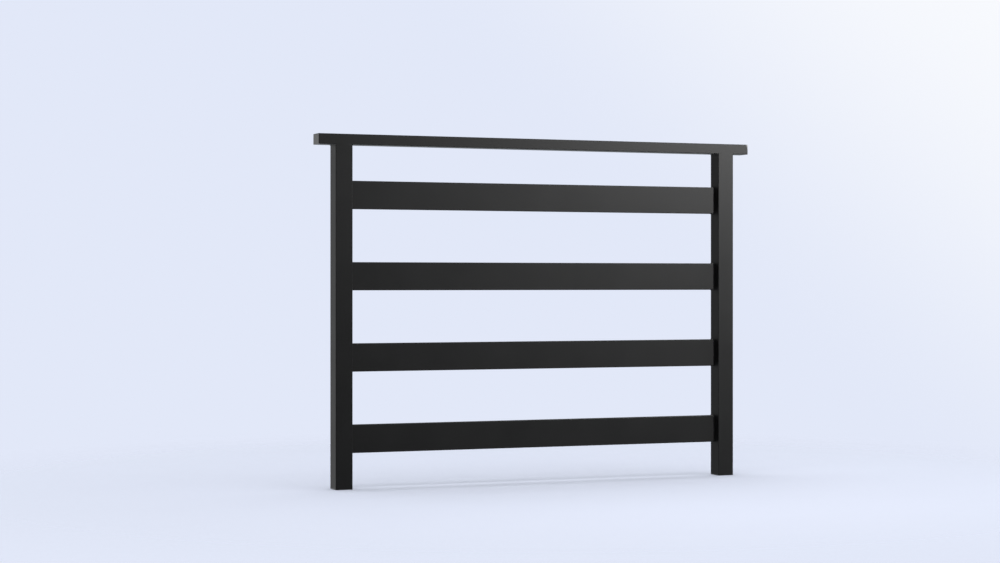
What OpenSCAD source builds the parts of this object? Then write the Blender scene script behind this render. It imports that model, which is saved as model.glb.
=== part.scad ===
// Juliet balcony: a flat railing that closes a full-height window on the outside.
// Two square posts stand off the wall on turned spacers, a flat handrail lies across
// their tops, and four wide hollow slats run between their inner faces, flush at the back.
// Welded aluminium sections, powder coated. Moulded plugs close the open tube ends.
//
// Frame: +X along the railing, +Y into the wall, +Z up. The origin is the middle of the
// flat wall side of the lower left fixing, so the wall is the plane Y = 0.

/* [Railing] */
// Height from the foot of the posts to the top of the handrail
railing_h = 1000; // [900:5:1200]
// Clear width between the two posts
clear_w = 1160; // [700:10:2000]
// Gap between the back of the posts and the wall
wall_gap = 30; // [24:1:60]
// Outer corner radius of every aluminium section
corner_r = 1.5; // [0.5:0.25:2.5]

/* [Posts] */
// Width of a post across the face
post_w = 50; // [40:1:70]
// Depth of a post from front to back
post_d = 50; // [40:1:70]
// Wall thickness of a post
post_wall = 3; // [2:0.5:4]

/* [Handrail] */
// Height of the handrail section
rail_h = 30; // [25:1:50]
// Depth of the handrail section, its front flush with the posts
rail_d = 50; // [40:1:70]
// Wall thickness of the handrail
rail_wall = 3; // [2:0.5:4]
// How far the handrail runs past the outside of each post
rail_overhang = 50; // [0:1:150]

/* [Slats] */
// Height of one slat
slat_h = 80; // [50:1:110]
// Thickness of one slat, front to back
slat_t = 20; // [15:1:30]
// Wall thickness of a slat
slat_wall = 2; // [1.5:0.25:3]
// Open height between the handrail and the top slat
rail_gap = 100; // [60:1:140]
// Open height between the bottom slat and the foot of the posts
foot_gap = 100; // [60:1:140]

/* [Wall fixings] */
// Diameter of a wall spacer
spacer_dia = 30; // [28:1:38]
// Diameter of the spigot that plugs into the back of a post
spigot_dia = 20; // [18:1:24]
// Length of the spigot past the inner face of the post wall
spigot_past = 4; // [4:0.5:8]
// Tapping diameter of the M12 thread for the wall rod
thread_core_dia = 10.2; // [8:0.1:12]
// Length of the thread from the wall end of the spacer
thread_len = 20; // [12:1:20]
// Thickness of the rubber sealing ring on the wall end
seal_t = 3; // [2:0.5:5]
// Bore of the sealing ring, clear of the rod
seal_bore = 13; // [12.5:0.5:16]
// Bevel round both rims of a spacer
spacer_bevel = 0.8; // [0.2:0.1:1.2]

/* [End plugs] */
// Thickness of a plug's outer plate
plug_plate = 3; // [2:0.5:5]
// Length of a plug inside its tube
plug_len = 16; // [14:1:30]
// Wall thickness of a plug's socket
plug_wall = 2; // [1.5:0.25:2.5]
// Thickness of the cross ribs in a plug's socket
plug_rib = 1.5; // [1:0.25:2.5]
// How far the gripping fins stand out of the socket
fin_reach = 2; // [1:0.25:3]
// Thickness of one fin at its root
fin_t = 2; // [1.5:0.25:2.5]
// Thickness of a fin's edge, which grips the tube
fin_edge = 0.5; // [0.25:0.25:1]
// Number of fins along a plug
fin_count = 3; // [1:1:3]
// Gap between the fins and the inside of the tube
fin_clear = 0.15; // [0.1:0.05:0.4]
// Diameter of the drain hole through the foot plugs
drain_dia = 8; // [5:0.5:12]

/* [Hidden] */

$fn = 48;
eps = 0.01;
LEFT = -1;
RIGHT = 1;
COAT = [0.05, 0.052, 0.055];
PLUG_BLACK = [0.03, 0.03, 0.03];
RUBBER = [0.015, 0.015, 0.015];

// Slats: as many as there are slat nodes, spread evenly between the two open ends
slat_count = 4;
post_top_z = railing_h - rail_h;
slat_stack_h = post_top_z - rail_gap - foot_gap;
slat_pitch = (slat_stack_h - slat_h) / (slat_count - 1);
slat_y = post_d - slat_t;

// Fixings: level with the middle of the bottom slat and of the top slat
post_x = (clear_w + post_w) / 2;
fix_low_z = foot_gap + slat_h / 2;
fix_high_z = post_top_z - rail_gap - slat_h / 2;
spacer_len = wall_gap - seal_t;
spigot_len = post_wall + spigot_past;
spigot_clear = 0.1;
drill_point_angle = 118;
drill_point_len = thread_core_dia / 2 / tan(drill_point_angle / 2);

rail_len = clear_w + 2 * post_w + 2 * rail_overhang;

// Everything is drawn from the middle of the railing, its front face and the foot of
// the posts, and then moved so that the lower left fixing meets the wall at the origin.
module from_wall_point() {
    translate([post_x, -post_d - wall_gap, -fix_low_z]) children();
}

// Outline of a section: a rectangle about the middle with round corners
module section_outline(width, depth) {
    square([width - 2 * corner_r, depth], center = true);
    square([width, depth - 2 * corner_r], center = true);
    for (x = [LEFT, RIGHT], y = [LEFT, RIGHT])
        translate([x * (width / 2 - corner_r), y * (depth / 2 - corner_r)])
            circle(r = corner_r);
}

// Straight hollow section, square inside, standing on its cut end
module hollow_section(width, depth, wall, length) {
    difference() {
        linear_extrude(length) section_outline(width, depth);
        translate([0, 0, -eps])
            linear_extrude(length + 2 * eps)
                square([width - 2 * wall, depth - 2 * wall], center = true);
    }
}

// Moulded plug: a plate with the outline of the section and, inside the tube, an open
// socket with cross ribs and wedge-shaped fins. The plate's outer face is at z = 0.
module end_plug(width, depth, wall, drain = 0) {
    bore_w = width - 2 * wall - 2 * fin_clear;
    bore_d = depth - 2 * wall - 2 * fin_clear;
    socket_w = bore_w - 2 * fin_reach;
    socket_d = bore_d - 2 * fin_reach;
    fin_pitch = (plug_len - fin_t) / fin_count;
    difference() {
        union() {
            linear_extrude(plug_plate) section_outline(width, depth);
            translate([0, 0, plug_plate - eps])
                linear_extrude(plug_len + eps) square([socket_w, socket_d], center = true);
            for (i = [1 : fin_count])
                translate([0, 0, plug_plate + i * fin_pitch - fin_t])
                    fin(bore_w, bore_d, socket_w, socket_d);
        }
        translate([0, 0, plug_plate])
            linear_extrude(plug_len + eps)
                difference() {
                    square([socket_w - 2 * plug_wall, socket_d - 2 * plug_wall],
                           center = true);
                    square([socket_w, plug_rib], center = true);
                    square([plug_rib, socket_d], center = true);
                }
        if (drain > 0) {
            translate([0, 0, -eps])
                cylinder(d = drain, h = plug_plate + plug_len + 2 * eps);
        }
    }
}

// One barbed fin round the socket: an edge of full size on the side of the plate, and
// beyond it a slope down to the socket, so that the plug slips in and stays in
module fin(outer_w, outer_d, root_w, root_d) {
    linear_extrude(fin_edge) square([outer_w, outer_d], center = true);
    translate([0, 0, fin_edge])
        linear_extrude(fin_t - fin_edge, scale = [root_w / outer_w, root_d / outer_d],
                       slices = 1, segments = 4)
            square([outer_w, outer_d], center = true);
}

// Handrail, lying along X across the tops of the posts
module handrail() {
    tube_len = rail_len - 2 * plug_plate;
    color(COAT) from_wall_point()
        translate([-tube_len / 2, rail_d / 2, post_top_z + rail_h / 2])
            rotate([90, 0, 90])
                hollow_section(rail_d, rail_h, rail_wall, tube_len);
}

// Plug in one end of the handrail
module handrail_plug(side) {
    color(PLUG_BLACK) from_wall_point()
        translate([side * rail_len / 2, rail_d / 2, post_top_z + rail_h / 2])
            rotate([90, 0, side == LEFT ? 90 : -90])
                end_plug(rail_d, rail_h, rail_wall);
}

// Post, with a round hole through its back wall for the spigot of each spacer
module post(side) {
    color(COAT) from_wall_point()
        translate([side * post_x, post_d / 2, 0])
            difference() {
                translate([0, 0, plug_plate])
                    hollow_section(post_w, post_d, post_wall, post_top_z - plug_plate);
                for (z = [fix_low_z, fix_high_z])
                    translate([0, post_d / 2 - post_wall - eps, z])
                        rotate([-90, 0, 0])
                            cylinder(d = spigot_dia + 2 * spigot_clear,
                                     h = post_wall + 2 * eps);
            }
}

// Plug in the foot of a post, drilled so that water can run out
module foot_plug(side) {
    color(PLUG_BLACK) from_wall_point()
        translate([side * post_x, post_d / 2, 0])
            end_plug(post_w, post_d, post_wall, drain_dia);
}

// Slat number i from the top, butted between the inner faces of the posts
module slat(i) {
    mid_z = fix_high_z - (i - 1) * slat_pitch;
    color(COAT) from_wall_point()
        translate([-clear_w / 2, slat_y + slat_t / 2, mid_z])
            rotate([90, 0, 90])
                hollow_section(slat_t, slat_h, slat_wall, clear_w);
}

// Turned spacer: a spigot in the post, a shoulder on its back face, and a blind
// threaded hole from the wall end that ends in the drill point
module wall_spacer(side, z) {
    outer_r = spacer_dia / 2;
    core_r = thread_core_dia / 2;
    color(COAT) from_wall_point()
        translate([side * post_x, post_d, z])
            rotate([-90, 0, 0])
                difference() {
                    rotate_extrude()
                        polygon([[0, -spigot_len],
                                 [spigot_dia / 2, -spigot_len],
                                 [spigot_dia / 2, 0],
                                 [outer_r - spacer_bevel, 0],
                                 [outer_r, spacer_bevel],
                                 [outer_r, spacer_len - spacer_bevel],
                                 [outer_r - spacer_bevel, spacer_len],
                                 [0, spacer_len]]);
                    translate([0, 0, spacer_len - thread_len])
                        cylinder(r = core_r, h = thread_len + eps);
                    translate([0, 0, spacer_len - thread_len - drill_point_len])
                        cylinder(r1 = 0, r2 = core_r, h = drill_point_len);
                }
}

// Rubber ring between a spacer and the wall
module sealing_ring(side, z) {
    color(RUBBER) from_wall_point()
        translate([side * post_x, post_d + spacer_len, z])
            rotate([-90, 0, 0])
                difference() {
                    cylinder(d = spacer_dia, h = seal_t);
                    translate([0, 0, -eps]) cylinder(d = seal_bore, h = seal_t + 2 * eps);
                }
}

handrail();
handrail_plug(LEFT);  // handrail_plug_left
handrail_plug(RIGHT);  // handrail_plug_right
post(LEFT);  // post_left
post(RIGHT);  // post_right
foot_plug(LEFT);  // foot_plug_left
foot_plug(RIGHT);  // foot_plug_right
slat(1);  // slat_1
slat(2);  // slat_2
slat(3);  // slat_3
slat(4);  // slat_4
wall_spacer(LEFT, fix_low_z);  // wall_spacer_lower_left
wall_spacer(LEFT, fix_high_z);  // wall_spacer_upper_left
wall_spacer(RIGHT, fix_low_z);  // wall_spacer_lower_right
wall_spacer(RIGHT, fix_high_z);  // wall_spacer_upper_right
sealing_ring(LEFT, fix_low_z);  // sealing_ring_lower_left
sealing_ring(LEFT, fix_high_z);  // sealing_ring_upper_left
sealing_ring(RIGHT, fix_low_z);  // sealing_ring_lower_right
sealing_ring(RIGHT, fix_high_z);  // sealing_ring_upper_right
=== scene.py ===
import math

import bmesh
import bpy
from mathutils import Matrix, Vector


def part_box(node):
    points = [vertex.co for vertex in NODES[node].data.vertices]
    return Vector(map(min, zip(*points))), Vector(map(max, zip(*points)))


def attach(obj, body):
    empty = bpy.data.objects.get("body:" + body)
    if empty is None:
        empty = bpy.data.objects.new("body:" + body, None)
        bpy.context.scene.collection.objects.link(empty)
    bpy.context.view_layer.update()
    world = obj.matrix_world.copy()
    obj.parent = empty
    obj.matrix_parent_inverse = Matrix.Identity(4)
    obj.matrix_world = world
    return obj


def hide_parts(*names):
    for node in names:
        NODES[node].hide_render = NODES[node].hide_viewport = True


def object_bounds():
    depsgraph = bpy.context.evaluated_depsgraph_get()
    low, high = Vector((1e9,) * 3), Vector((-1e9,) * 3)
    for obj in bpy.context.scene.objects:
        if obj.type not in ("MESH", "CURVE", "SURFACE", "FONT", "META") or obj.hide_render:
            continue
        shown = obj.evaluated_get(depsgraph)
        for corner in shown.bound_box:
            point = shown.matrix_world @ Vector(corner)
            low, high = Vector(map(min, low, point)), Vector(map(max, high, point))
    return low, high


bl_info = {
    "name": "Juliet Balcony Finisher",
    "version": (1, 0, 0),
    "blender": (4, 5, 0),
    "location": "View3D > Sidebar > Balcony",
    "description": "Coats, welds and plugs a railing that closes a full-height window",
    "category": "Object",
}

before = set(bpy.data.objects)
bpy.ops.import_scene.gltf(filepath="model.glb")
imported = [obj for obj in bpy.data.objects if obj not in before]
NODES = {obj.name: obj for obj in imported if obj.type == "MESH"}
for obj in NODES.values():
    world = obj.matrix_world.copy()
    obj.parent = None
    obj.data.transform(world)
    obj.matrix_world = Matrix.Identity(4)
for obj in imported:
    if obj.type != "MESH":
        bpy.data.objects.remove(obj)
CAD_BOX = [list(corner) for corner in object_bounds()]

BODY = "root"

SIDES = ("left", "right")
LEVELS = ("lower", "upper")
SLATS = tuple(f"slat_{number}" for number in range(1, 5))
POSTS = {side: f"post_{side}" for side in SIDES}
FIXINGS = tuple(f"{level}_{side}" for level in LEVELS for side in SIDES)

MM = 0.001
TOUCH = 0.01 * MM
SAME_POINT = TOUCH / 10
QUARTER = math.radians(90)
HALF = math.radians(180)
FULL = math.radians(360)
SMOOTH_BELOW = math.radians(35)
ROUND_SIDES = 96
X, Y, Z = Vector((1, 0, 0)), Vector((0, 1, 0)), Vector((0, 0, 1))


# ------ settings

class BalconyCoat(bpy.types.PropertyGroup):
    """The powder coat on the tubes, the spacers and the welds"""

    colour: bpy.props.FloatVectorProperty(
        name="Coat colour", description="Colour of the powder coat",
        subtype="COLOR", size=3, min=0, max=1, default=(0.0036, 0.0036, 0.0038))
    roughness: bpy.props.FloatProperty(
        name="Coat roughness", description="0 is a mirror and 1 is chalk",
        subtype="FACTOR", min=0, max=1, default=0.38)
    peel_size: bpy.props.FloatProperty(
        name="Orange peel size", description="Width of one dimple in the coat",
        unit="LENGTH", min=0.5 * MM, max=10 * MM, default=2.4 * MM)
    peel_depth: bpy.props.FloatProperty(
        name="Orange peel depth", description="Height of the dimples in the coat",
        unit="LENGTH", min=0, max=0.2 * MM, default=0.012 * MM)
    dust: bpy.props.FloatProperty(
        name="Dust", description="How much fine dust lies on the faces that look up",
        subtype="FACTOR", min=0, max=1, default=0.3)
    dust_colour: bpy.props.FloatVectorProperty(
        name="Dust colour", description="Colour of the dust",
        subtype="COLOR", size=3, min=0, max=1, default=(0.16, 0.155, 0.145))


class BalconyWelds(bpy.types.PropertyGroup):
    """The welds that join the tubes"""

    section_corner: bpy.props.FloatProperty(
        name="Section corner", description="Outer corner radius of every tube",
        unit="LENGTH", min=0.5 * MM, max=2.5 * MM, default=1.5 * MM)
    bead_radius: bpy.props.FloatProperty(
        name="Bead radius", description="Radius of the round top of a bead",
        unit="LENGTH", min=1.5 * MM, max=5 * MM, default=2.9 * MM)
    bead_sink: bpy.props.FloatProperty(
        name="Bead sink", description="How far that radius has its middle inside each wall",
        unit="LENGTH", min=0, max=2 * MM, default=0.8 * MM)
    ripple: bpy.props.FloatProperty(
        name="Ripple length", description="Length of one ripple along a bead",
        unit="LENGTH", min=1 * MM, max=5 * MM, default=2.0 * MM)
    ripple_rise: bpy.props.FloatProperty(
        name="Ripple rise", description="How far the crest of a ripple stands out",
        unit="LENGTH", min=0, max=0.5 * MM, default=0.11 * MM)


class BalconyPlugs(bpy.types.PropertyGroup):
    """The moulded plugs in the open tube ends"""

    colour: bpy.props.FloatVectorProperty(
        name="Plug colour", description="Colour of the moulded plastic",
        subtype="COLOR", size=3, min=0, max=1, default=(0.008, 0.008, 0.0085))
    roughness: bpy.props.FloatProperty(
        name="Plug roughness", description="0 is a mirror and 1 is chalk",
        subtype="FACTOR", min=0, max=1, default=0.3)
    plate: bpy.props.FloatProperty(
        name="Plate thickness", description="Thickness of the plate that closes the tube",
        unit="LENGTH", min=2 * MM, max=5 * MM, default=3 * MM)
    crown: bpy.props.FloatProperty(
        name="Crown", description="How far the middle of the plate stands out past its rim",
        unit="LENGTH", min=0, max=1 * MM, default=0.2 * MM)
    rim: bpy.props.FloatProperty(
        name="Rim radius", description="Radius round the rim of the plate",
        unit="LENGTH", min=0.2 * MM, max=1.2 * MM, default=0.35 * MM)
    socket_length: bpy.props.FloatProperty(
        name="Socket length", description="Length of the plug inside the tube",
        unit="LENGTH", min=14 * MM, max=30 * MM, default=16 * MM)
    drain: bpy.props.FloatProperty(
        name="Drain hole", description="Diameter of the hole through a foot plug",
        unit="LENGTH", min=5 * MM, max=12 * MM, default=8 * MM)


class BalconyFixings(bpy.types.PropertyGroup):
    """The spacers and the sealing rings between the posts and the wall"""

    spigot: bpy.props.FloatProperty(
        name="Spigot diameter", description="Diameter of the end that plugs into the post",
        unit="LENGTH", min=18 * MM, max=24 * MM, default=20 * MM)
    spigot_length: bpy.props.FloatProperty(
        name="Spigot length", description="Length of that end from the back of the post",
        unit="LENGTH", min=5 * MM, max=12 * MM, default=7 * MM)
    bevel: bpy.props.FloatProperty(
        name="Rim bevel", description="Bevel round both rims of a spacer",
        unit="LENGTH", min=0.2 * MM, max=1.2 * MM, default=0.8 * MM)
    thread: bpy.props.FloatProperty(
        name="Thread diameter", description="Outer diameter of the thread for the wall rod",
        unit="LENGTH", min=8 * MM, max=16 * MM, default=12 * MM)
    pitch: bpy.props.FloatProperty(
        name="Thread pitch", description="Distance from one turn of the thread to the next",
        unit="LENGTH", min=1 * MM, max=2 * MM, default=1.75 * MM)
    core: bpy.props.FloatProperty(
        name="Tapping drill", description="Diameter of the hole before it is tapped",
        unit="LENGTH", min=6 * MM, max=14 * MM, default=10.2 * MM)
    thread_length: bpy.props.FloatProperty(
        name="Thread length", description="Depth of the full hole from the wall end",
        unit="LENGTH", min=12 * MM, max=20 * MM, default=20 * MM)
    seal_bore: bpy.props.FloatProperty(
        name="Seal bore", description="Diameter of the hole in a sealing ring",
        unit="LENGTH", min=12.5 * MM, max=16 * MM, default=13 * MM)
    rubber: bpy.props.FloatVectorProperty(
        name="Rubber colour", description="Colour of the sealing rings",
        subtype="COLOR", size=3, min=0, max=1, default=(0.012, 0.012, 0.012))
    metal: bpy.props.FloatVectorProperty(
        name="Metal colour", description="Colour of the bare aluminium in the thread",
        subtype="COLOR", size=3, min=0, max=1, default=(0.62, 0.63, 0.65))


class BalconyStage(bpy.types.PropertyGroup):
    """The floor, the lights and the camera"""

    backdrop: bpy.props.FloatVectorProperty(
        name="Backdrop", description="Colour of the empty studio behind the railing",
        subtype="COLOR", size=3, min=0, max=1, default=(0.76, 0.807, 0.94))
    floor: bpy.props.FloatVectorProperty(
        name="Floor", description="Colour of the studio floor",
        subtype="COLOR", size=3, min=0, max=1, default=(0.70, 0.735, 0.85))
    camera_place: bpy.props.FloatVectorProperty(
        name="Camera place", description="Camera's place from the foot of the railing's middle",
        unit="LENGTH", subtype="TRANSLATION", size=3, default=(-2.5172, -5.7944, 0.5851))
    camera_turn: bpy.props.FloatProperty(
        name="Camera turn", description="How far the level camera is turned to the right",
        subtype="ANGLE", default=math.radians(22.372))
    lens: bpy.props.FloatProperty(
        name="Lens", description="Focal length on the sensor width, in millimetres",
        min=10, max=300, default=78.06)
    key_power: bpy.props.FloatProperty(
        name="Key light", description="Power of the lamp at the front right",
        unit="POWER", min=0, default=320)
    fill_power: bpy.props.FloatProperty(
        name="Fill light", description="Power of the lamp at the front left",
        unit="POWER", min=0, default=50)
    top_power: bpy.props.FloatProperty(
        name="Top light", description="Power of the wide lamp overhead",
        unit="POWER", min=0, default=160)
    rim_power: bpy.props.FloatProperty(
        name="Rim light", description="Power of the weak lamp behind the left end",
        unit="POWER", min=0, default=8.7)


# ------ modelling by hand, in code

def clear_bench():
    """Leaves edit mode and deselects everything."""
    if bpy.context.mode != "OBJECT":
        bpy.ops.object.mode_set(mode="OBJECT")
    bpy.ops.object.select_all(action="DESELECT")


def work_on(obj):
    """Makes obj the only selected and the active object."""
    clear_bench()
    obj.select_set(True)
    bpy.context.view_layer.objects.active = obj


def begin(add_primitive, **placing):
    """Adds a primitive at its size and place and opens it for modelling."""
    clear_bench()
    add_primitive(**placing)
    bpy.ops.object.transform_apply(location=True, rotation=True, scale=True)
    bpy.ops.object.mode_set(mode="EDIT")
    return bpy.context.object


def open_block(low, high):
    return begin(bpy.ops.mesh.primitive_cube_add, size=1, location=(low + high) / 2,
                 scale=high - low)


def open_cylinder(radius, bottom, top, sides=ROUND_SIDES):
    return begin(bpy.ops.mesh.primitive_cylinder_add, vertices=sides, radius=radius,
                 depth=top - bottom, location=(0, 0, (top + bottom) / 2))


def touches(first, second):
    return abs(first - second) < TOUCH


def corners(part):
    """The corner points of a vertex, an edge or a face."""
    return [part.co] if isinstance(part, bmesh.types.BMVert) else [v.co for v in part.verts]


def on_plane(axis, *levels):
    """A test for parts that lie whole on the plane at one of those levels along the axis."""
    return lambda part: any(all(touches(point.dot(axis), level) for point in corners(part))
                            for level in levels)


def pick(kind, test):
    """Selects only the vertices, edges or faces of the open mesh that pass a test."""
    bpy.ops.mesh.select_mode(type=kind)
    bpy.ops.mesh.select_all(action="DESELECT")
    mesh = bpy.context.object.data
    shape = bmesh.from_edit_mesh(mesh)
    shape.verts.index_update()
    shape.normal_update()
    parts = {"VERT": shape.verts, "EDGE": shape.edges, "FACE": shape.faces}[kind]
    for part in parts:
        if test(part):
            part.select_set(True)
    shape.select_flush_mode()
    bmesh.update_edit_mesh(mesh)


def pick_all():
    bpy.ops.mesh.select_all(action="SELECT")


def slide(offset):
    bpy.ops.transform.translate(value=offset)


def extrude(offset):
    bpy.ops.mesh.extrude_region_move(TRANSFORM_OT_translate={"value": offset})


def stretch(factors, centre):
    bpy.ops.transform.resize(value=factors, center_override=centre)


def bevel_edges(offset, segments):
    bpy.ops.mesh.bevel(offset=offset, segments=segments, affect="EDGES")


def draw_out(level, way, factor):
    """Extrudes the flat end at that height by way along Z and scales its new outline."""
    pick("FACE", on_plane(Z, level))
    extrude((0, 0, way))
    stretch((factor, factor, 1), (0, 0, level + way))


def tidy_mesh(turn_faces=True):
    """Merges doubles, turns the faces outwards where needed and shades the open piece."""
    pick_all()
    bpy.ops.mesh.remove_doubles(threshold=SAME_POINT)
    if turn_faces:
        bpy.ops.mesh.normals_make_consistent(inside=False)
    bpy.ops.object.mode_set(mode="OBJECT")
    bpy.ops.object.shade_smooth_by_angle(angle=SMOOTH_BELOW)


def check_closed(obj):
    """Stops the work where a piece has a hole in its surface or is inside out."""
    shape = bmesh.new()
    shape.from_mesh(obj.data)
    closed = all(edge.is_manifold for edge in shape.edges) and shape.calc_volume(signed=True) > 0
    shape.free()
    if not closed:
        raise ValueError(f"{obj.name} is not a closed solid")


def cut_away(obj, tool):
    """Cuts the tool's shape out of obj and throws the tool away."""
    work_on(obj)
    cut = obj.modifiers.new("cut", "BOOLEAN")
    cut.operation, cut.solver, cut.object = "DIFFERENCE", "EXACT", tool
    bpy.ops.object.modifier_apply(modifier=cut.name)
    bpy.data.objects.remove(tool)
    bpy.ops.object.mode_set(mode="EDIT")
    tidy_mesh(turn_faces=False)
    check_closed(obj)


def copies(obj, count):
    """obj and enough copies of it, each with its own mesh, to make that many."""
    made = [obj]
    while len(made) < count:
        work_on(obj)
        bpy.ops.object.duplicate(linked=False)
        made.append(bpy.context.object)
    return made


def put(obj, place, turn=(0, 0, 0)):
    """Moves and turns a piece that was modelled round the origin, and settles that in its mesh."""
    work_on(obj)
    obj.location, obj.rotation_euler = place, turn
    bpy.ops.object.transform_apply(location=True, rotation=True, scale=True)


def middle_of(node):
    low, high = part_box(node)
    return (low + high) / 2


def hand_over(obj, name, materials, replaced=()):
    """Names a finished piece, checks it and fits it to the railing."""
    obj.name = obj.data.name = name
    check_closed(obj)
    for index, material in enumerate(materials):
        if index < len(obj.data.materials):
            obj.data.materials[index] = material
        else:
            obj.data.materials.append(material)
    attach(obj, BODY)
    if replaced:
        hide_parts(*replaced)


def fit_fixings(made, name, kind, length, materials, replacing=True):
    """Fits copies of a round piece that was modelled upright to the four nodes of that kind.

    The length is from the piece's foot to the end of the node that faces the wall.
    """
    for fixing, piece in zip(FIXINGS, copies(made, len(FIXINGS))):
        node = f"{kind}_{fixing}"
        axis, wall_end = middle_of(node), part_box(node)[1].y
        put(piece, (axis.x, wall_end - length, axis.z), (-QUARTER, 0, 0))
        hand_over(piece, f"{name}_{fixing}", materials, [node] if replacing else ())


# ------ finishes

NOISE_MEAN = 0.5
SKIN_RELIEF, SKIN_PATCH = 2 * MM, 150 * MM
SKIN_DETAIL = {"Relief": 3.0, "Patches": 4.0}
SKIN_ROUGHNESS = 0.55
DUST_UPWARD = 0.55, 0.98
DUST_DRIFT = {"scale": 38.0, "detail": 5.0, "roughness": 0.6}
DUST_PATCHES, DUST_LEAST = (0.3, 0.75), 0.35
DUST_AMOUNT, DUST_DULLS = 0.3, 1.8
RUB_ROUNDED = 0.995, 0.8
RUB_WEAR = {"scale": 85.0, "detail": 4.0, "roughness": 0.65}
RUB_PATCHES = 0.35, 0.7
RUB_AMOUNT = 0.5


def as_label(name):
    return name.replace("_", " ").title()


def feed(tree, socket, value):
    """Links an output to the socket, or sets a number or a colour on it."""
    if isinstance(value, bpy.types.NodeSocket):
        tree.links.new(value, socket)
    else:
        socket.default_value = (*value, 1) if socket.type == "RGBA" else value


def add_node(tree, kind, **values):
    """Adds a node; values feed its sockets by name, or its own settings where no socket has it."""
    node = tree.nodes.new(kind)
    for name, value in values.items():
        if as_label(name) in node.inputs:
            feed(tree, node.inputs[as_label(name)], value)
        else:
            setattr(node, name, value)
    return node


def calculate(tree, operation, first, second=0.0):
    """Adds a Math node fed by sockets or numbers and gives its output."""
    node = add_node(tree, "ShaderNodeMath", operation=operation)
    feed(tree, node.inputs[0], first)
    feed(tree, node.inputs[1], second)
    return node.outputs["Value"]


def product(tree, first, *others):
    for other in others:
        first = calculate(tree, "MULTIPLY", first, other)
    return first


def noise(tree, coordinates, **values):
    """A noise pattern from 0 to 1."""
    return add_node(tree, "ShaderNodeTexNoise", vector=coordinates, **values).outputs["Fac"]


def ramp(tree, value, limits, bottom=0.0, top=1.0, kind="SMOOTHSTEP"):
    """A step from bottom at the first limit to top at the second, which may lie below the first."""
    start, end = limits
    step = add_node(tree, "ShaderNodeMapRange", interpolation_type=kind, value=value,
                    from_min=start, from_max=end, to_min=bottom, to_max=top)
    return step.outputs["Result"]


def split(tree, vector):
    """The X, Y and Z of a vector."""
    parts = add_node(tree, "ShaderNodeSeparateXYZ", vector=vector).outputs
    return parts["X"], parts["Y"], parts["Z"]


def mix_colours(tree, below, above, mask):
    """Mixes a colour over another by a mask."""
    mix = add_node(tree, "ShaderNodeMix", data_type="RGBA", factor=mask)
    for socket, colour in zip([each for each in mix.inputs if each.type == "RGBA"], (below, above)):
        feed(tree, socket, colour)
    return [each for each in mix.outputs if each.type == "RGBA"][0]


def tinted(colour, factor):
    return tuple(min(1, channel * factor) for channel in colour)


def shared_effect(build):
    """Builds an effect's node group once, named as its function, and gives that one ever after."""
    name = as_label(build.__name__)
    return lambda: bpy.data.node_groups.get(name) or build(name)


def new_group(name, outputs, **numbers):
    """An empty node group that takes coordinates and numbers and gives masks."""
    group = bpy.data.node_groups.new(name, "ShaderNodeTree")
    group.interface.new_socket("Coordinates", in_out="INPUT", socket_type="NodeSocketVector")
    for label, number in numbers.items():
        socket = group.interface.new_socket(as_label(label), in_out="INPUT",
                                            socket_type="NodeSocketFloat")
        socket.default_value = number
    for label in outputs:
        group.interface.new_socket(label, in_out="OUTPUT", socket_type="NodeSocketFloat")
    given, result = group.nodes.new("NodeGroupInput"), group.nodes.new("NodeGroupOutput")
    return group, given.outputs, result.inputs


@shared_effect
def surface_skin(name):
    """Fine relief and broad patches from 0 to 1, and the patches' swing about nothing."""
    group, given, result = new_group(name, ("Relief", "Patches", "Mottle"),
                                     relief_size=SKIN_RELIEF, patch_size=SKIN_PATCH)
    for out, size in (("Relief", "Relief Size"), ("Patches", "Patch Size")):
        scale = calculate(group, "DIVIDE", 1.0, given[size])
        pattern = noise(group, given["Coordinates"], scale=scale, detail=SKIN_DETAIL[out],
                        roughness=SKIN_ROUGHNESS)
        group.links.new(pattern, result[out])
    group.links.new(calculate(group, "SUBTRACT", pattern, NOISE_MEAN), result["Mottle"])
    return group


@shared_effect
def settled_dust(name):
    """Where fine dust lies: on faces that look up, in soft patches."""
    group, given, result = new_group(name, ["Dust"], amount=DUST_AMOUNT)
    *_, facing_up = split(group, group.nodes.new("ShaderNodeNewGeometry").outputs["Normal"])
    upward = ramp(group, facing_up, DUST_UPWARD)
    patches = ramp(group, noise(group, given["Coordinates"], **DUST_DRIFT), DUST_PATCHES,
                   bottom=DUST_LEAST, kind="LINEAR")
    group.links.new(product(group, upward, patches, given["Amount"]), result["Dust"])
    return group


@shared_effect
def rubbed_corners(name):
    """Where square sections are rubbed: along their rounded corners, unevenly."""
    group, given, result = new_group(name, ["Rub"], amount=RUB_AMOUNT)
    normal = group.nodes.new("ShaderNodeNewGeometry").outputs["Normal"]
    straight = add_node(group, "ShaderNodeVectorMath", operation="ABSOLUTE", vector=normal)
    widest, *others = split(group, straight.outputs["Vector"])
    for other in others:
        widest = calculate(group, "MAXIMUM", widest, other)
    worn = ramp(group, noise(group, given["Coordinates"], **RUB_WEAR), RUB_PATCHES, kind="LINEAR")
    group.links.new(product(group, ramp(group, widest, RUB_ROUNDED), worn, given["Amount"]),
                    result["Rub"])
    return group


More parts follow.
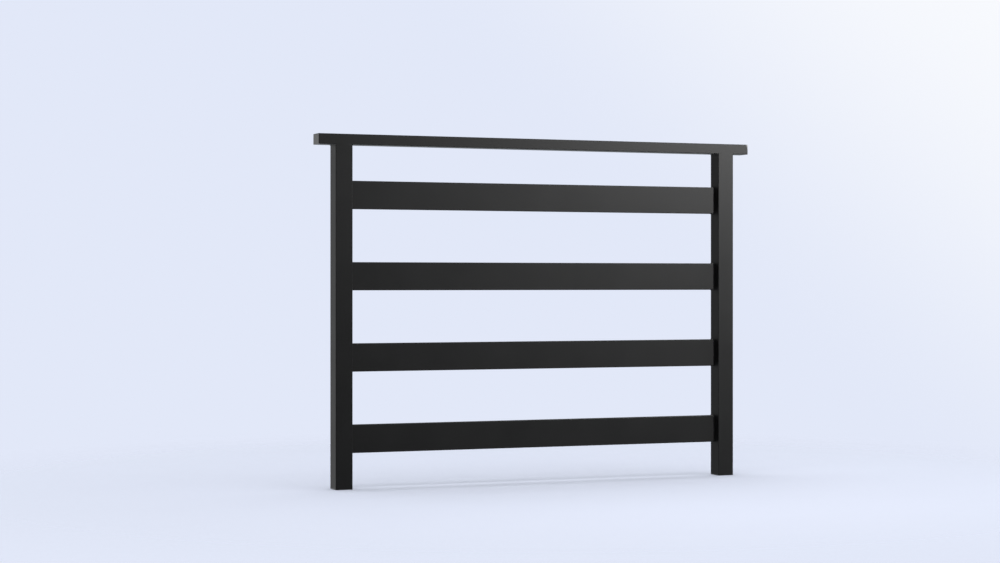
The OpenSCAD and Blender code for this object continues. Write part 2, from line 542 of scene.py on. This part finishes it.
class Finish:
    """A material under construction, on the object's own coordinates."""

    def __init__(self, name):
        self.material = bpy.data.materials.new(name)
        self.material.use_nodes = True
        self.tree = self.material.node_tree
        self.shader = self.tree.nodes["Principled BSDF"].inputs
        self.place = add_node(self.tree, "ShaderNodeTexCoord").outputs["Object"]

    def effect(self, group, **values):
        """Places an effect with its own values and gives its outputs."""
        return add_node(self.tree, "ShaderNodeGroup", node_tree=group, coordinates=self.place,
                        **values).outputs

    def settle(self, **values):
        """Sets what is the same all over the surface."""
        for name, value in values.items():
            self.shader[name.replace("_", " ")].default_value = value

    def paint(self, colour, *layers):
        """Lays colours over the first one; layers are pairs of a colour and its mask."""
        for above, mask in layers:
            colour = mix_colours(self.tree, colour, above, mask)
        self.tree.links.new(colour, self.shader["Base Color"])

    def vary(self, name, start, *effects):
        """Adds to a number what each mask brings; effects are pairs of a mask and its effect."""
        for mask, effect in effects:
            start = calculate(self.tree, "ADD", product(self.tree, mask, effect), start)
        self.tree.links.new(start, self.shader[name])

    def grain(self, size, depth, patch):
        """Raises a fine relief and gives the masks of the broad patches and of their mottling."""
        skin = self.effect(surface_skin(), relief_size=size, patch_size=patch)
        bump = add_node(self.tree, "ShaderNodeBump", height=skin["Relief"], distance=depth)
        self.tree.links.new(bump.outputs["Normal"], self.shader["Normal"])
        return skin["Patches"], skin["Mottle"]

    def weather(self, settings, lying, rubbed, pale, smooth, *effects):
        """Rubs the corners paler and smoother, lays dust on top and gives the dust's mask."""
        rub = self.effect(rubbed_corners(), amount=rubbed)["Rub"]
        dust = self.effect(settled_dust(), amount=lying.dust)["Dust"]
        self.paint(settings.colour, (tinted(settings.colour, pale), rub),
                   (lying.dust_colour, dust))
        self.vary("Roughness", settings.roughness, *effects, (rub, smooth), (dust, DUST_DULLS))
        return dust


# A grain is the size and the depth of the fine relief, and the size of the broad patches.
COAT_PATCH = 110 * MM
COAT_PALE, COAT_SMOOTH = 3, -0.08
COAT_MOTTLE = 0.07


def coat_finish(settings, name, rubbed):
    """Satin powder coat: soft orange peel, faint mottling, dust on top and thinner on the corners."""
    finish = Finish(name)
    _, mottle = finish.grain(settings.peel_size, settings.peel_depth, COAT_PATCH)
    finish.weather(settings, settings, rubbed, COAT_PALE, COAT_SMOOTH, (mottle, COAT_MOTTLE))
    return finish.material


PLASTIC_GRAIN = 0.35 * MM, 0.008 * MM, 20 * MM
PLASTIC_PALE, PLASTIC_SMOOTH = 2.5, -0.05
PLASTIC_MOTTLE = 0.1
PLASTIC_IOR = 1.58
PLASTIC_GLOSS, PLASTIC_GLOSS_ROUGHNESS = 0.6, 0.25


def plug_finish(settings, lying):
    """Moulded plastic with a fine spark-eroded grain, glossy where no dust lies on it."""
    finish = Finish("moulded plastic")
    _, mottle = finish.grain(*PLASTIC_GRAIN)
    dust = finish.weather(settings, lying, RUB_AMOUNT, PLASTIC_PALE, PLASTIC_SMOOTH,
                          (mottle, PLASTIC_MOTTLE))
    finish.vary("Coat Weight", PLASTIC_GLOSS, (dust, -DUST_DULLS))
    finish.settle(IOR=PLASTIC_IOR, Coat_Roughness=PLASTIC_GLOSS_ROUGHNESS)
    return finish.material


RUBBER_GRAIN = 0.6 * MM, 0.02 * MM, 6 * MM
RUBBER_BLOOM = 2.2
RUBBER_DUST, RUBBER_DUST_COLOUR = 0.35, (0.14, 0.135, 0.125)
RUBBER_ROUGHNESS, RUBBER_MOTTLE = 0.72, 0.2


def rubber_finish(settings):
    """Dull rubber with a faint bloom."""
    finish = Finish("sealing rubber")
    patches, mottle = finish.grain(*RUBBER_GRAIN)
    dust = finish.effect(settled_dust(), amount=RUBBER_DUST)["Dust"]
    finish.paint(settings.rubber, (tinted(settings.rubber, RUBBER_BLOOM), patches),
                 (RUBBER_DUST_COLOUR, dust))
    finish.vary("Roughness", RUBBER_ROUGHNESS, (mottle, RUBBER_MOTTLE))
    return finish.material


METAL_GRAIN = 0.25 * MM, 0.006 * MM, 4 * MM
METAL_DULL = 0.72
METAL_ROUGHNESS, METAL_MOTTLE = 0.3, 0.25


def metal_finish(settings):
    """Bare cut aluminium, left clear of the coat in the threads."""
    finish = Finish("cut aluminium")
    patches, mottle = finish.grain(*METAL_GRAIN)
    finish.paint(settings.metal, (tinted(settings.metal, METAL_DULL), patches))
    finish.vary("Roughness", METAL_ROUGHNESS, (mottle, METAL_MOTTLE))
    finish.settle(Metallic=1.0)
    return finish.material


# ------ coat

TUBE_COAT, WELD_COAT = "satin powder coat", "satin powder coat on welds"
RUBBED = {TUBE_COAT: RUB_AMOUNT, WELD_COAT: 0.0}


def coat_of(scene, name):
    """The coat on the square sections, or the one on beads and turned parts, each made once."""
    return (bpy.data.materials.get(name)
            or coat_finish(scene.balcony_coat, name, RUBBED[name]))


class BALCONY_OT_coat_tubes(bpy.types.Operator):
    """Coats the handrail, the posts and the slats"""
    bl_idname = "balcony.coat_tubes"
    bl_label = "Coat the tubes"

    def execute(self, context):
        for name in ("handrail", *POSTS.values(), *SLATS):
            NODES[name].material_slots[0].material = coat_of(context.scene, TUBE_COAT)
        return {"FINISHED"}


# ------ welds

BEAD_ROOT = 0.3 * MM
BEAD_POINTS = 24
RINGS_PER_RIPPLE = 4
TURN_RINGS = 6
RIPPLE_SHAPE = ((0, 0.4), (1, 1.0), (3, -0.6))
END_TAPER = 0.45 * MM
SEAM_SEGMENTS = 8


def strike_bead(corner, out_of_first, out_of_second, settings):
    """Opens a bead with its section in the corner of two faces: round outside, square in the metal.

    The two directions point out of the metal of each face. Gives the number of points in the
    section, which is also their number in every ring after it.
    """
    centre = corner - (out_of_first + out_of_second) * settings.bead_sink
    bead = begin(bpy.ops.mesh.primitive_circle_add, vertices=BEAD_POINTS,
                 radius=settings.bead_radius, fill_type="NOTHING",
                 location=centre, rotation=(QUARTER, 0, 0))
    for outward in (out_of_first, out_of_second):
        limit = corner - outward * BEAD_ROOT
        pick("VERT", lambda vertex: (vertex.co - limit).dot(outward) < 0)
        stretch([0 if way else 1 for way in outward], limit)
    pick_all()
    bpy.ops.mesh.remove_doubles(threshold=TOUCH)
    pick_all()
    return len(bmesh.from_edit_mesh(bead.data).verts)


def run_bead(along, length, settings):
    """Carries the open end of a bead straight on, one ring at a time."""
    rings = max(1, round(length / settings.ripple * RINGS_PER_RIPPLE))
    bpy.ops.mesh.extrude_repeat(steps=rings, offset=along * (length / rings))


def turn_bead(centre, axis, angle, rings=TURN_RINGS):
    """Carries the open end of a bead round a corner."""
    bpy.ops.mesh.spin(steps=rings, angle=angle, center=centre, axis=axis)


def ripple_bead(ring_size, settings, closed=False):
    """Closes the ends of a bead, raises the crests of its ripples and tapers it where it stops."""
    pick_all()
    if closed:
        bpy.ops.mesh.remove_doubles(threshold=SAME_POINT)
    else:
        bpy.ops.mesh.fill_holes(sides=0)
    bpy.ops.mesh.normals_make_consistent(inside=False)
    for phase, rise in RIPPLE_SHAPE:
        pick("VERT", lambda vertex: vertex.index // ring_size % RINGS_PER_RIPPLE == phase)
        bpy.ops.transform.shrink_fatten(value=settings.ripple_rise * rise)
    if not closed:
        last = len(bmesh.from_edit_mesh(bpy.context.object.data).verts) // ring_size - 1
        for end in (0, last):
            pick("VERT", lambda vertex: vertex.index // ring_size == end)
            bpy.ops.transform.shrink_fatten(value=-END_TAPER)
    tidy_mesh()


def weld_slat_end(slat, settings):
    """Fillet weld round the left end of a slat: under it, up its front and back over its top."""
    low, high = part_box(slat)
    corner = settings.section_corner
    depth, height = high.y - low.y - 2 * corner, high.z - low.z - 2 * corner
    ring_size = strike_bead(Vector((low.x, high.y - corner, low.z)), X, -Z, settings)
    run_bead(-Y, depth, settings)
    turn_bead((0, low.y + corner, low.z + corner), X, QUARTER)
    run_bead(Z, height, settings)
    turn_bead((0, low.y + corner, high.z - corner), X, QUARTER)
    run_bead(Y, depth, settings)
    ripple_bead(ring_size, settings)
    return bpy.context.object


def grind_seam(low, high, outward, across):
    """A weld ground flush: a square bar in the groove, its outer face rounded at both ends."""
    bar = open_block(low, high)
    outer = on_plane(outward, max(low.dot(outward), high.dot(outward)))
    ends = on_plane(across, low.dot(across), high.dot(across))
    pick("EDGE", lambda edge: outer(edge) and ends(edge))
    bevel_edges(min(high - low) - TOUCH, SEAM_SEGMENTS)
    tidy_mesh()
    return bar


class BALCONY_OT_weld_slats(bpy.types.Operator):
    """Welds both ends of every slat to the posts, and grinds the welds flush at the back"""
    bl_idname = "balcony.weld_slats"
    bl_label = "Weld the slats"

    def execute(self, context):
        settings = context.scene.balcony_welds
        coat = coat_of(context.scene, WELD_COAT)
        low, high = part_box(SLATS[0])
        middle = middle_of(SLATS[0])
        corner = settings.section_corner
        bead = weld_slat_end(SLATS[0], settings)
        seam = grind_seam(Vector((low.x - corner, high.y - corner, low.z)),
                          Vector((low.x, high.y, high.z)), Y, Z)
        for kind, made in (("weld", bead), ("seam", seam)):
            spare = copies(made, 2 * len(SLATS))
            for slat in SLATS:
                drop = middle_of(slat).z - middle.z
                put(spare[0], (0, 0, drop))
                put(spare[1], (2 * middle.x, 0, 2 * middle.z + drop), (0, HALF, 0))
                for side in SIDES:
                    hand_over(spare.pop(0), f"{kind}_{slat}_{side}", [coat])
        return {"FINISHED"}


class BALCONY_OT_weld_handrail(bpy.types.Operator):
    """Welds the handrail to the posts: beads at the sides, ground flush at the front and back"""
    bl_idname = "balcony.weld_handrail"
    bl_label = "Weld the handrail"

    def execute(self, context):
        settings = context.scene.balcony_welds
        coat = coat_of(context.scene, WELD_COAT)
        corner = settings.section_corner
        for side, post in POSTS.items():
            low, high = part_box(post)
            faces = ("outer", "inner") if side == "left" else ("inner", "outer")
            for face, edge_x, out in zip(faces, (low.x, high.x), (-X, X)):
                ring_size = strike_bead(Vector((edge_x, high.y - corner, high.z)), out, -Z,
                                        settings)
                run_bead(-Y, high.y - low.y - 2 * corner, settings)
                ripple_bead(ring_size, settings)
                hand_over(bpy.context.object, f"weld_post_{side}_{face}", [coat])
            for face, near, out in (("front", low.y, -Y), ("back", high.y - corner, Y)):
                seam = grind_seam(Vector((low.x, near, high.z)),
                                  Vector((high.x, near + corner, high.z + corner)), out, X)
                hand_over(seam, f"seam_post_{side}_{face}", [coat])
        return {"FINISHED"}


def spacer_size():
    """The radius of a spacer, and its length between the post's back and the sealing ring."""
    low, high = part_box(f"wall_spacer_{FIXINGS[0]}")
    return (high.x - low.x) / 2, high.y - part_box(POSTS["left"])[1].y


class BALCONY_OT_weld_spacers(bpy.types.Operator):
    """Welds the spacers to the backs of the posts, all the way round"""
    bl_idname = "balcony.weld_spacers"
    bl_label = "Weld the spacers"

    def execute(self, context):
        settings = context.scene.balcony_welds
        coat = coat_of(context.scene, WELD_COAT)
        radius, length = spacer_size()
        ring_size = strike_bead(X * radius, X, Z, settings)
        around = FULL * (radius + settings.bead_sink)
        rings = round(around / settings.ripple) * RINGS_PER_RIPPLE
        turn_bead((0, 0, 0), Z, FULL, rings)
        ripple_bead(ring_size, settings, closed=True)
        fit_fixings(bpy.context.object, "weld_spacer", "wall_spacer", length, [coat],
                    replacing=False)
        return {"FINISHED"}


# ------ wall fixings

THREAD_STEPS = 48
OFF_FACET = FULL / ROUND_SIDES / 4
THREAD_ANGLE = math.radians(60)
DRILL_ANGLE = math.radians(118)
LEAD_IN = 1 * MM
CHAMFER_PAST = 0.2 * MM
CREST_SHARE = 1 / 8
PAST_CORE = 0.15 * MM
SHOULDER_SEGMENTS, SPIGOT_SEGMENTS = 2, 1


def drill_bit(mouth, settings):
    """The shape of the drilled hole: a straight bore, the drill's point and a flared lead-in."""
    core, flare = settings.core / 2, settings.thread / 2
    full = mouth - LEAD_IN
    bottom = mouth - settings.thread_length
    bit = open_cylinder(core, bottom, full)
    draw_out(bottom, -core / math.tan(DRILL_ANGLE / 2), 0)
    draw_out(full, 2 * LEAD_IN, 1 + 2 * (flare + CHAMFER_PAST - core) / core)
    tidy_mesh()
    return bit


def tap(mouth, settings):
    """The shape that a tap cuts: a ridge wound round the hole, from its bottom to past its mouth."""
    length, pitch, crest = settings.thread_length, settings.pitch, settings.thread / 2
    root = settings.core / 2 - PAST_CORE
    flat = pitch * CREST_SHARE
    wide = flat + 2 * (crest - root) * math.tan(THREAD_ANGLE / 2)
    turns = math.ceil(length / pitch)
    start = mouth - length + wide / 2 + pitch / 2
    tool = begin(bpy.ops.mesh.primitive_plane_add, size=crest - root, rotation=(QUARTER, 0, 0),
                 location=((root + crest) / 2, 0, start))
    for level, width in ((root, wide), (crest, flat)):
        pick("VERT", on_plane(X, level))
        stretch((1, 1, width / (crest - root)), (level, 0, start))
    pick_all()
    bpy.ops.mesh.delete(type="ONLY_FACE")
    work_on(tool)
    wind = tool.modifiers.new("wind", "SCREW")
    wind.axis, wind.angle, wind.screw_offset = "Z", FULL * turns, pitch * turns
    wind.steps = wind.render_steps = THREAD_STEPS * turns
    bpy.ops.object.modifier_apply(modifier=wind.name)
    bpy.ops.object.mode_set(mode="EDIT")
    pick_all()
    bpy.ops.mesh.fill_holes(sides=0)
    tidy_mesh()
    put(tool, (0, 0, 0), (0, 0, OFF_FACET))
    return tool


def turn_spacer(radius, length, settings):
    """A turned and tapped spacer: shoulder at the origin, wall end up, spigot below."""
    spacer = open_cylinder(radius, 0, length)
    pick("EDGE", on_plane(Z, 0, length))
    bevel_edges(settings.bevel, SHOULDER_SEGMENTS)
    pick("FACE", on_plane(Z, 0))
    bpy.ops.mesh.inset(thickness=radius - settings.bevel - settings.spigot / 2)
    extrude((0, 0, -settings.spigot_length))
    pick("EDGE", on_plane(Z, -settings.spigot_length))
    bevel_edges(settings.bevel, SPIGOT_SEGMENTS)
    tidy_mesh()
    for tool in (drill_bit(length, settings), tap(length, settings)):
        cut_away(spacer, tool)
    for face in spacer.data.polygons:
        if face.center.xy.length < settings.thread / 2 + LEAD_IN and face.center.z > 0:
            face.material_index = 1
    return spacer


class BALCONY_OT_tap_spacers(bpy.types.Operator):
    """Turns the four spacers and cuts the thread for the wall rod into each"""
    bl_idname = "balcony.tap_spacers"
    bl_label = "Turn and tap the spacers"

    def execute(self, context):
        settings = context.scene.balcony_fixings
        coat = coat_of(context.scene, WELD_COAT)
        radius, length = spacer_size()
        spacer = turn_spacer(radius, length, settings)
        spacer.data.materials.append(None)
        spacer.data.materials.append(None)
        fit_fixings(spacer, "tapped_spacer", "wall_spacer", length,
                    [coat, metal_finish(settings)])
        return {"FINISHED"}


RIB_RINGS = 9
SUNK_RINGS = 2, 3, 6, 7
RIB_DEPTH = 0.45 * MM
SEAL_RIM, SEAL_SEGMENTS = 0.4 * MM, 3
SEAL_BULGE = (0.25, 1.008), (0.5, 1.012), (0.75, 1.008)


def off_axis(vertex):
    return vertex.co.xy.length


def cut_seal(radius, thickness, settings):
    """A rubber ring with soft rims, a slight bulge and two pressing ribs on its wall side."""
    ring = open_cylinder(radius, 0, thickness)
    bore = settings.seal_bore / 2
    wall_side = on_plane(Z, thickness)

    def is_spoke(edge):
        return not touches(*map(off_axis, edge.verts))

    pick("FACE", on_plane(Z, 0, thickness))
    bpy.ops.mesh.inset(thickness=radius - bore)
    bpy.ops.mesh.bridge_edge_loops()
    pick("EDGE", lambda edge: wall_side(edge) and is_spoke(edge))
    bpy.ops.mesh.subdivide(number_cuts=RIB_RINGS)
    step = (radius - bore) / (RIB_RINGS + 1)
    sunk = [bore + step * number for number in SUNK_RINGS]
    pick("VERT", lambda vertex: wall_side(vertex)
         and any(abs(off_axis(vertex) - groove) < step / 4 for groove in sunk))
    slide((0, 0, -RIB_DEPTH))
    pick("EDGE", lambda edge: on_plane(Z, edge.verts[0].co.z)(edge) and not is_spoke(edge)
         and any(touches(off_axis(edge.verts[0]), size) for size in (radius, bore)))
    bevel_edges(SEAL_RIM, SEAL_SEGMENTS)
    pick("EDGE", lambda edge: min(map(off_axis, edge.verts)) > radius - TOUCH
         and abs(edge.verts[0].co.z - edge.verts[1].co.z) > thickness / 2)
    bpy.ops.mesh.subdivide(number_cuts=len(SEAL_BULGE))
    for share, bulge in SEAL_BULGE:
        level = SEAL_RIM + (thickness - 2 * SEAL_RIM) * share
        pick("VERT", lambda vertex: abs(vertex.co.z - level) < 2 * TOUCH
             and off_axis(vertex) > radius - TOUCH)
        stretch((bulge, bulge, 1), (0, 0, level))
    tidy_mesh()
    return ring


class BALCONY_OT_cut_seals(bpy.types.Operator):
    """Makes the four rubber rings between the spacers and the wall"""
    bl_idname = "balcony.cut_seals"
    bl_label = "Cut the sealing rings"

    def execute(self, context):
        settings = context.scene.balcony_fixings
        low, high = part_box(f"sealing_ring_{FIXINGS[0]}")
        thickness = high.y - low.y
        ring = cut_seal((high.x - low.x) / 2, thickness, settings)
        fit_fixings(ring, "ribbed_seal", "sealing_ring", thickness, [rubber_finish(settings)])
        return {"FINISHED"}


# ------ end plugs

TUBE_WALL = 3 * MM
PLUG_WALL = 2 * MM
PLUG_RIB = 1.5 * MM
FIN_REACH = 2 * MM
FIN_CLEAR = 0.15 * MM
FIN_THICK = 2 * MM
FIN_EDGE = 0.5 * MM
FINS = 3
CROWN_LOOPS = ((0.965, 0.5), (0.90, 0.3), (0.75, 0.2))
CORNER_SEGMENTS, RIM_SEGMENTS = 6, 3
UPRIGHT_BELOW = 0.5
DRAIN_SIDES = 48
DRAIN_FLARE = 0.7 * MM
DRAIN_PAST = 1 * MM


def mould_plug(width, depth, settings, corner):
    """A moulded plug with its plate's outer face at the origin and its socket above it."""
    top = settings.plate + settings.socket_length
    bore_w, bore_d = (size - 2 * (TUBE_WALL + FIN_CLEAR) for size in (width, depth))
    socket_w, socket_d = bore_w - 2 * FIN_REACH, bore_d - 2 * FIN_REACH
    plug = open_block(Vector((-width / 2, -depth / 2, settings.crown)),
                      Vector((width / 2, depth / 2, settings.plate)))
    pick("FACE", on_plane(Z, settings.plate))
    bpy.ops.mesh.inset(thickness=(width - socket_w) / 2)
    extrude((0, 0, settings.socket_length))
    bpy.ops.mesh.inset(thickness=PLUG_WALL)
    open_w, open_d = socket_w / 2 - PLUG_WALL + TOUCH, socket_d / 2 - PLUG_WALL + TOUCH

    def in_mouth(face):
        return on_plane(Z, top)(face) and all(abs(point.x) < open_w and abs(point.y) < open_d
                                              for point in corners(face))

    for axis in (X, Y):
        for side in (-1, 1):
            pick("FACE", in_mouth)
            bpy.ops.mesh.bisect(plane_co=axis * side * PLUG_RIB / 2, plane_no=axis)
    pick("FACE", lambda face: in_mouth(face)
         and min(abs(face.calc_center_median().x), abs(face.calc_center_median().y)) > PLUG_RIB)
    extrude((0, 0, -settings.socket_length))

    def on_socket(face):
        return all(point.z > settings.plate - TOUCH
                   and (touches(abs(point.x), socket_w / 2)
                        or touches(abs(point.y), socket_d / 2))
                   for point in corners(face)) and abs(face.normal.z) < UPRIGHT_BELOW

    step = (settings.socket_length - FIN_THICK) / FINS
    fins = [settings.plate + step * number - FIN_THICK for number in range(1, FINS + 1)]
    for level in (edge for fin in fins for edge in (fin, fin + FIN_THICK)):
        pick("FACE", on_socket)
        bpy.ops.mesh.bisect(plane_co=(0, 0, level), plane_no=Z)
    for fin in fins:
        pick("FACE", lambda face: on_socket(face)
             and fin < face.calc_center_median().z < fin + FIN_THICK)
        extrude((0, 0, 0))
        stretch((bore_w / socket_w, bore_d / socket_d, 1), (0, 0, fin))
        pick("VERT", lambda vertex: touches(vertex.co.z, fin + FIN_THICK)
             and (abs(vertex.co.x) > bore_w / 2 - TOUCH or abs(vertex.co.y) > bore_d / 2 - TOUCH))
        slide((0, 0, FIN_EDGE - FIN_THICK))
    pick("EDGE", lambda edge: not touches(edge.verts[0].co.z, edge.verts[1].co.z)
         and all(touches(abs(point.x), width / 2) and touches(abs(point.y), depth / 2)
                 for point in corners(edge)))
    bevel_edges(corner, CORNER_SEGMENTS)
    pick("EDGE", on_plane(Z, settings.crown))
    bevel_edges(settings.rim, RIM_SEGMENTS)
    level = settings.crown
    for shrink, share in CROWN_LOOPS:
        draw_out(level, -settings.crown * share, shrink)
        level -= settings.crown * share
    tidy_mesh(turn_faces=False)
    return plug


def drain_bit(settings):
    """The shape of a drain hole, flared at its outer mouth."""
    top = settings.plate + settings.socket_length + DRAIN_PAST
    bit = open_cylinder(settings.drain / 2, DRAIN_FLARE, top, DRAIN_SIDES)
    draw_out(DRAIN_FLARE, -2 * DRAIN_FLARE, 1 + 4 * DRAIN_FLARE / settings.drain)
    tidy_mesh()
    return bit


class BALCONY_OT_mould_plugs(bpy.types.Operator):
    """Moulds the four plugs that close the handrail and the feet of the posts"""
    bl_idname = "balcony.mould_plugs"
    bl_label = "Mould the end plugs"

    def execute(self, context):
        settings = context.scene.balcony_plugs
        corner = context.scene.balcony_welds.section_corner
        plastic = plug_finish(settings, context.scene.balcony_coat)
        for kind in ("handrail", "foot"):
            low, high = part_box(f"{kind}_plug_left")
            size = high - low
            if kind == "handrail":
                plug = mould_plug(size.y, size.z, settings, corner)
            else:
                plug = mould_plug(size.x, size.y, settings, corner)
                cut_away(plug, drain_bit(settings))
            for side, piece in zip(SIDES, copies(plug, len(SIDES))):
                node = f"{kind}_plug_{side}"
                low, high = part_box(node)
                middle = middle_of(node)
                if kind == "foot":
                    put(piece, (middle.x, middle.y, low.z))
                elif side == "left":
                    put(piece, (low.x, middle.y, middle.z), (QUARTER, 0, QUARTER))
                else:
                    put(piece, (high.x, middle.y, middle.z), (QUARTER, 0, -QUARTER))
                hand_over(piece, f"moulded_{node}", [plastic], [node])
        return {"FINISHED"}


# ------ stage

KEY_WAY = math.radians(39), math.radians(18.5)
FILL_WAY = math.radians(-48), math.radians(14)
FRONT_DISTANCE, FRONT_SIZE = 8, 1.1
TOP_HEIGHT, TOP_SIZE = 3.4, 6.0
RIM_PLACE, RIM_AIM, RIM_SIZE = Vector((-1.55, 2.0, 0.2)), Vector((0, 0, 0.3)), 2.4
SENSOR = 36
FLOOR_SIZE = 12
FLOOR_GAP = 0.5 * MM
FLOOR_FADE = 0.7, 2.2
FLOOR_SPECKS, FLOOR_PALE = {"scale": 3.0, "detail": 3.0}, 1.02
BRIGHT_COLOUR = 0.94, 0.955, 0.99
BRIGHT_RISE, BRIGHT_FALL = (0.46, 0.72), (0.85, 0.65)
SOFT_LIGHT = 0.80, 0.85, 0.90
DIMMEST = 0.01
# Each panel's strength, and from where to where it rises to that, along which ways.
PANELS = (
    (0.5, {"sky": (0.35, 1.0)}),
    (0.12, {"back": (0.55, 1.0), "right": (0.1, -0.3)}),
    (0.75, {"back": (0.0, 0.4), "right": (-0.3, 0.1), "sky": (0.0, -0.25)}),
    (0.45, {"back": (0.1, -0.3), "sky": (-0.2, -0.5)}),
    (0.3, {"side": (0.6, 0.95), "sky": (0.05, -0.2)}),
)


def lay_floor(settings, middle, foot):
    """A wide floor that fades out round the railing and can't be seen from below."""
    floor = begin(bpy.ops.mesh.primitive_circle_add, vertices=ROUND_SIDES, radius=FLOOR_SIZE,
                  fill_type="NGON", location=(middle.x, middle.y, foot - FLOOR_GAP))
    clear_bench()
    floor.name = "studio_floor"
    finish = Finish("pale studio floor")
    tree = finish.tree
    finish.paint(settings.floor, (tinted(settings.floor, FLOOR_PALE),
                                  noise(tree, finish.place, **FLOOR_SPECKS)))
    finish.settle(Roughness=1.0, Specular_IOR_Level=0.0)
    away = add_node(tree, "ShaderNodeVectorMath", operation="DISTANCE", vector=finish.place)
    away.inputs[1].default_value = (middle.x, middle.y, foot)
    fade = ramp(tree, away.outputs["Value"], FLOOR_FADE, bottom=1.0, top=0.0)
    side = tree.nodes.new("ShaderNodeNewGeometry")
    from_above = calculate(tree, "SUBTRACT", 1.0, side.outputs["Backfacing"])
    tree.links.new(product(tree, fade, from_above), finish.shader["Alpha"])
    floor.data.materials.append(finish.material)
    floor.visible_glossy = floor.visible_shadow = False


def add_lamp(name, place, aim, size, power, shape="DISK"):
    bpy.ops.object.light_add(type="AREA", location=place)
    lamp = bpy.context.object
    lamp.name = name
    lamp.data.shape, lamp.data.size, lamp.data.energy = shape, size, power
    lamp.rotation_euler = (aim - place).to_track_quat("-Z", "Y").to_euler()
    lamp.visible_camera = False
    return lamp


def add_front_lamp(name, aim, azimuth, elevation, power):
    """A far lamp in front of the railing, turned to the right by the azimuth, without shadows."""
    level = math.cos(elevation)
    way = Vector((math.sin(azimuth) * level, -math.cos(azimuth) * level, math.sin(elevation)))
    lamp = add_lamp(name, aim + way * FRONT_DISTANCE, aim, FRONT_SIZE, power)
    lamp.data.use_shadow = False


def hang_lamps(settings, middle):
    add_front_lamp("key_lamp", middle, *KEY_WAY, settings.key_power)
    add_front_lamp("fill_lamp", middle, *FILL_WAY, settings.fill_power)
    top = add_lamp("top_lamp", middle + Z * TOP_HEIGHT, middle, TOP_SIZE, settings.top_power)
    top.visible_glossy = False
    add_lamp("rim_lamp", RIM_PLACE, RIM_AIM, RIM_SIZE, settings.rim_power, shape="SQUARE")


def paint_world(settings):
    """A backdrop for the camera with painted light, brighter towards its upper right, and soft panels
    round the railing for its reflections.
    """
    world = bpy.data.worlds.new("studio")
    bpy.context.scene.world = world
    world.use_nodes = True
    tree, links = world.node_tree, world.node_tree.links
    right, back, sky = split(tree, tree.nodes.new("ShaderNodeTexCoord").outputs["Generated"])
    ways = {"right": right, "back": back, "sky": sky, "side": calculate(tree, "ABSOLUTE", right)}

    # painted light: the backdrop seen by the camera is painted brighter towards its upper right
    bright = product(tree, ramp(tree, calculate(tree, "ADD", right, sky), BRIGHT_RISE),
                     ramp(tree, right, BRIGHT_FALL))
    shown = tree.nodes["Background"]
    links.new(mix_colours(tree, settings.backdrop, BRIGHT_COLOUR, bright), shown.inputs["Color"])

    level = DIMMEST
    for strength, rises in PANELS:
        masks = [ramp(tree, ways[way], limits) for way, limits in rises.items()]
        level = calculate(tree, "ADD", product(tree, *masks, strength), level)
    soft = add_node(tree, "ShaderNodeBackground", color=SOFT_LIGHT, strength=level)

    seen = tree.nodes.new("ShaderNodeLightPath").outputs["Is Camera Ray"]
    mix = add_node(tree, "ShaderNodeMixShader", fac=seen)
    links.new(soft.outputs["Background"], mix.inputs[1])
    links.new(shown.outputs["Background"], mix.inputs[2])
    links.new(mix.outputs["Shader"], tree.nodes["World Output"].inputs["Surface"])


def place_camera(context, settings, foot_of_front):
    bpy.ops.object.camera_add(location=foot_of_front + Vector(settings.camera_place),
                              rotation=(QUARTER, 0, -settings.camera_turn))
    camera = context.object
    camera.name = "camera"
    camera.data.lens, camera.data.sensor_width = settings.lens, SENSOR
    context.scene.camera = camera


class BALCONY_OT_set_stage(bpy.types.Operator):
    """Lays the floor, hangs the lamps and places the camera"""
    bl_idname = "balcony.set_stage"
    bl_label = "Set the stage"

    def execute(self, context):
        settings = context.scene.balcony_stage
        middle = (Vector(CAD_BOX[0]) + Vector(CAD_BOX[1])) / 2
        foot = CAD_BOX[0][2]
        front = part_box(POSTS["left"])[0].y
        lay_floor(settings, middle, foot)
        hang_lamps(settings, middle)
        paint_world(settings)
        place_camera(context, settings, Vector((middle.x, front, foot)))
        context.scene.view_settings.view_transform = "Standard"
        return {"FINISHED"}


# ------ add-on

class BALCONY_PT_panel(bpy.types.Panel):
    """Lists the sizes, the colours and the steps"""
    bl_idname = "BALCONY_PT_panel"
    bl_label = "Juliet balcony"
    bl_space_type = "VIEW_3D"
    bl_region_type = "UI"
    bl_category = "Balcony"

    def draw(self, context):
        for name, group in GROUPS.items():
            box = self.layout.box()
            box.label(text=group.__doc__)
            for prop in group.__annotations__:
                box.prop(getattr(context.scene, name), prop)
        for operator in OPERATORS:
            self.layout.operator(operator.bl_idname)


GROUPS = {"balcony_coat": BalconyCoat, "balcony_welds": BalconyWelds, "balcony_plugs": BalconyPlugs,
          "balcony_fixings": BalconyFixings, "balcony_stage": BalconyStage}
OPERATORS = (BALCONY_OT_coat_tubes, BALCONY_OT_weld_slats, BALCONY_OT_weld_handrail,
             BALCONY_OT_weld_spacers, BALCONY_OT_tap_spacers, BALCONY_OT_cut_seals,
             BALCONY_OT_mould_plugs, BALCONY_OT_set_stage)


def register():
    for cls in (*GROUPS.values(), *OPERATORS, BALCONY_PT_panel):
        bpy.utils.register_class(cls)
    for name, cls in GROUPS.items():
        setattr(bpy.types.Scene, name, bpy.props.PointerProperty(type=cls))


def unregister():
    for name in GROUPS:
        delattr(bpy.types.Scene, name)
    for cls in (BALCONY_PT_panel, *reversed(OPERATORS), *reversed(GROUPS.values())):
        bpy.utils.unregister_class(cls)


def main():
    register()
    clear_bench()
    bpy.ops.balcony.coat_tubes()
    bpy.ops.balcony.weld_slats()
    bpy.ops.balcony.weld_handrail()
    bpy.ops.balcony.weld_spacers()
    bpy.ops.balcony.tap_spacers()
    bpy.ops.balcony.cut_seals()
    bpy.ops.balcony.mould_plugs()
    bpy.ops.balcony.set_stage()


if __name__ == "__main__":
    main()
